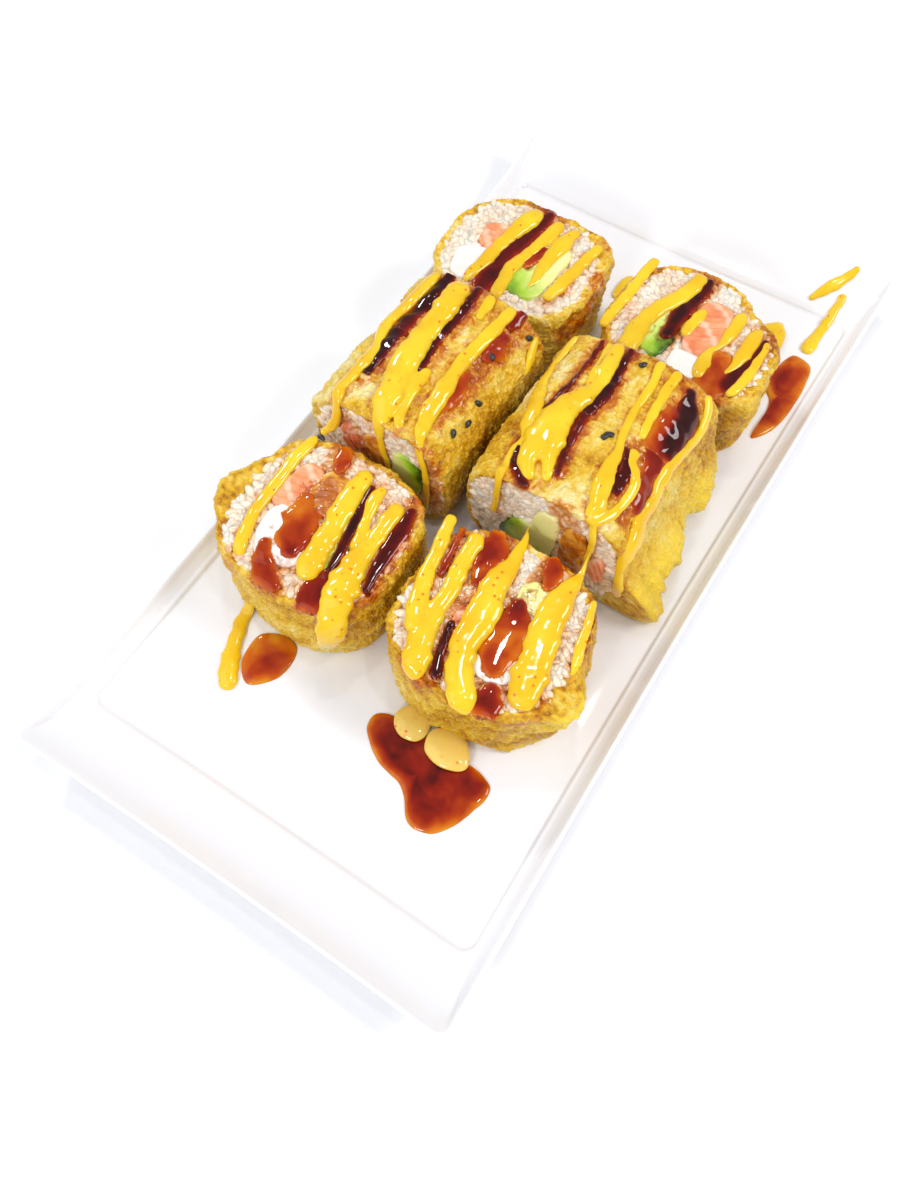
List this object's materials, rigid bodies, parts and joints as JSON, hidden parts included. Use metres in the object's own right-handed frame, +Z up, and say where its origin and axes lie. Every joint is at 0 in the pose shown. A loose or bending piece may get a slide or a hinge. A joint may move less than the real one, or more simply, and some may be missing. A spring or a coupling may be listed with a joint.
{
  "type": "plate of crunchy sushi roll",
  "caption": "Fried sushi roll slices in two rows on a long white porcelain plate, with yellow mayonnaise drizzled over them and brown sauce beside them.",
  "frame": {"origin": "middle of the plate's footprint, on the surface that it stands on", "axes": "+X along the plate's length, towards the bare end nearest the viewer; +Y across the plate; +Z up"},
  "size_m": [0.2998, 0.151, 0.0534],
  "materials": {
    "avocado": "ripe avocado flesh, satin, darker green at its skin side",
    "brown_sauce": "thick dark brown sauce, very glossy, amber where thin",
    "cream_cheese": "soft white cheese, satin",
    "crust": "fried batter, golden and craggy, moist with oil in places",
    "glazed_strip": "cooked strip soaked in brown sauce, glossy",
    "mayonnaise": "yellow spiced mayonnaise, glossy",
    "porcelain": "glazed white porcelain with a mirror-like gloss",
    "rice": "cooked sushi rice, translucent moist grains",
    "salmon": "raw salmon, moist"
  },
  "bodies": {
    "root": {"mayo_drop_back_1": "mayonnaise", "mayo_drop_back_2": "mayonnaise", "mayo_drop_back_3": "mayonnaise", "mayo_drop_back_4": "mayonnaise", "mayo_drop_front_1": "mayonnaise", "mayo_drop_front_2": "mayonnaise", "mayo_strand_back": "mayonnaise", "mayo_strand_left": "mayonnaise", "mayo_strand_lip": "mayonnaise", "plate": "porcelain", "sauce_pool_back": "brown_sauce", "sauce_pool_front": "brown_sauce", "sauce_pool_left": "brown_sauce", "slice_a_avocado": "avocado", "slice_a_cream_cheese": "cream_cheese", "slice_a_crust": "crust", "slice_a_rice": "rice", "slice_a_salmon": "salmon", "slice_b_avocado": "avocado", "slice_b_cream_cheese": "cream_cheese", "slice_b_crust": "crust", "slice_b_rice": "rice", "slice_b_salmon": "salmon", "slice_c1_avocado": "avocado", "slice_c1_crust": "crust", "slice_c1_rice": "rice", "slice_c1_salmon": "salmon", "slice_c2_avocado": "avocado", "slice_c2_crust": "crust", "slice_c2_glazed_strip": "glazed_strip", "slice_c2_rice": "rice", "slice_c2_salmon": "salmon", "slice_d1_avocado": "avocado", "slice_d1_crust": "crust", "slice_d1_rice": "rice", "slice_d1_salmon": "salmon", "slice_d2_avocado": "avocado", "slice_d2_avocado_2": "avocado", "slice_d2_crust": "crust", "slice_d2_glazed_strip": "glazed_strip", "slice_d2_rice": "rice", "slice_d2_salmon": "salmon", "slice_e_avocado": "avocado", "slice_e_cream_cheese": "cream_cheese", "slice_e_crust": "crust", "slice_e_glazed_strip": "glazed_strip", "slice_e_rice": "rice", "slice_e_salmon": "salmon", "slice_f_avocado": "avocado", "slice_f_cream_cheese": "cream_cheese", "slice_f_crust": "crust", "slice_f_glazed_strip": "glazed_strip", "slice_f_rice": "rice", "slice_f_salmon": "salmon"}
  },
  "joints": []
}
